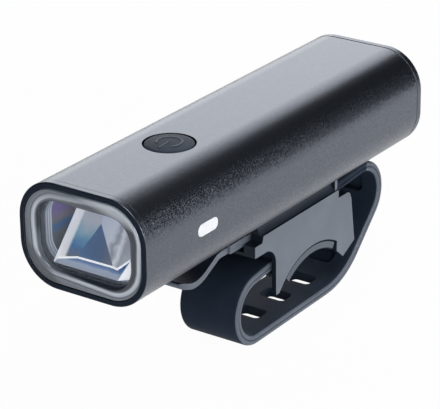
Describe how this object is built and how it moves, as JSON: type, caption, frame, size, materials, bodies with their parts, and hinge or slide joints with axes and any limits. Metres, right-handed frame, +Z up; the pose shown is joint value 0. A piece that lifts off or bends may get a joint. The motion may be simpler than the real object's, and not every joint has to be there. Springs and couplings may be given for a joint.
{
  "type": "bike headlight",
  "caption": "Slim rounded-box bike headlight with a faceted front optic, a top button and side windows, on a sliding quick-release handlebar bracket with a slotted rubber strap.",
  "frame": {"origin": "on the handlebar's axis, at the middle of the saddle", "axes": "+X along the handlebar, -Y where the beam points, +Z up from the bar to the light"},
  "size_m": [0.032, 0.106, 0.0536],
  "materials": {
    "shell": "bead-blasted black anodised",
    "bezel": "satin black moulding",
    "lens": "clear polished polycarbonate",
    "gasket": "matte silicone",
    "holder": "dark moulded plastic",
    "optic": "clear faceted acrylic",
    "led": "yellow phosphor",
    "led_board": "white solder mask",
    "spreader": "bare turned aluminium",
    "circuit_board": "green solder mask",
    "switch": "moulded plastic",
    "button": "soft-touch silicone",
    "window": "milky diffuser",
    "cell": "shrink-wrapped cell",
    "cradle": "moulded plastic",
    "contact": "plated spring metal",
    "cap": "moulded plastic",
    "steel": "plated steel",
    "flap": "matte silicone",
    "cleat": "moulded plastic",
    "bracket": "fine-textured moulded plastic",
    "pad": "soft rubber",
    "lever": "fine-textured moulded plastic",
    "strap": "matte silicone rubber"
  },
  "bodies": {
    "mount": {"bracket": "bracket", "saddle_pad": "pad", "strap": "strap", "strap_pin": "steel", "lever_pin": "steel"},
    "light": {"body_shell": "shell", "front_bezel": "bezel", "front_lens": "lens", "lens_gasket": "gasket", "optic_holder": "holder", "main_optic": "optic", "led_emitter": "led", "led_board": "led_board", "heat_spreader": "spreader", "driver_board": "circuit_board", "tact_switch": "switch", "side_window_right": "window", "side_window_left": "window", "battery_cell": "cell", "battery_cradle": "cradle", "contact_front": "contact", "contact_rear": "contact", "rear_cap": "cap", "rear_gasket": "gasket", "rear_cap_screws": "steel", "usb_socket": "steel", "charge_board": "circuit_board", "light_cleat": "cleat", "cleat_screws": "steel"},
    "power_button": {"power_button": "button", "switch_plunger": "switch"},
    "release_lever": {"release_lever": "lever"},
    "port_cover": {"port_cover": "flap"}
  },
  "joints": [
    {"name": "light_slide", "type": "slide", "parent": "mount", "child": "light", "axis": [0, -1, 0], "range_m": [0, 0.021]},
    {"name": "button_press", "type": "slide", "parent": "light", "child": "power_button", "axis": [0, 0, -1], "range_m": [0, 0.0005], "stiffness_N_per_m": 4000},
    {"name": "lever_press", "type": "hinge", "parent": "mount", "child": "release_lever", "pos_m": [0, -0.014, 0.0246], "axis": [1, 0, 0], "range_deg": [0, 6], "stiffness_Nm_per_rad": 1},
    {"name": "flap_open", "type": "hinge", "parent": "light", "child": "port_cover", "pos_m": [0, 0.0342, 0.046], "axis": [1, 0, 0], "range_deg": [0, 100]}
  ]
}
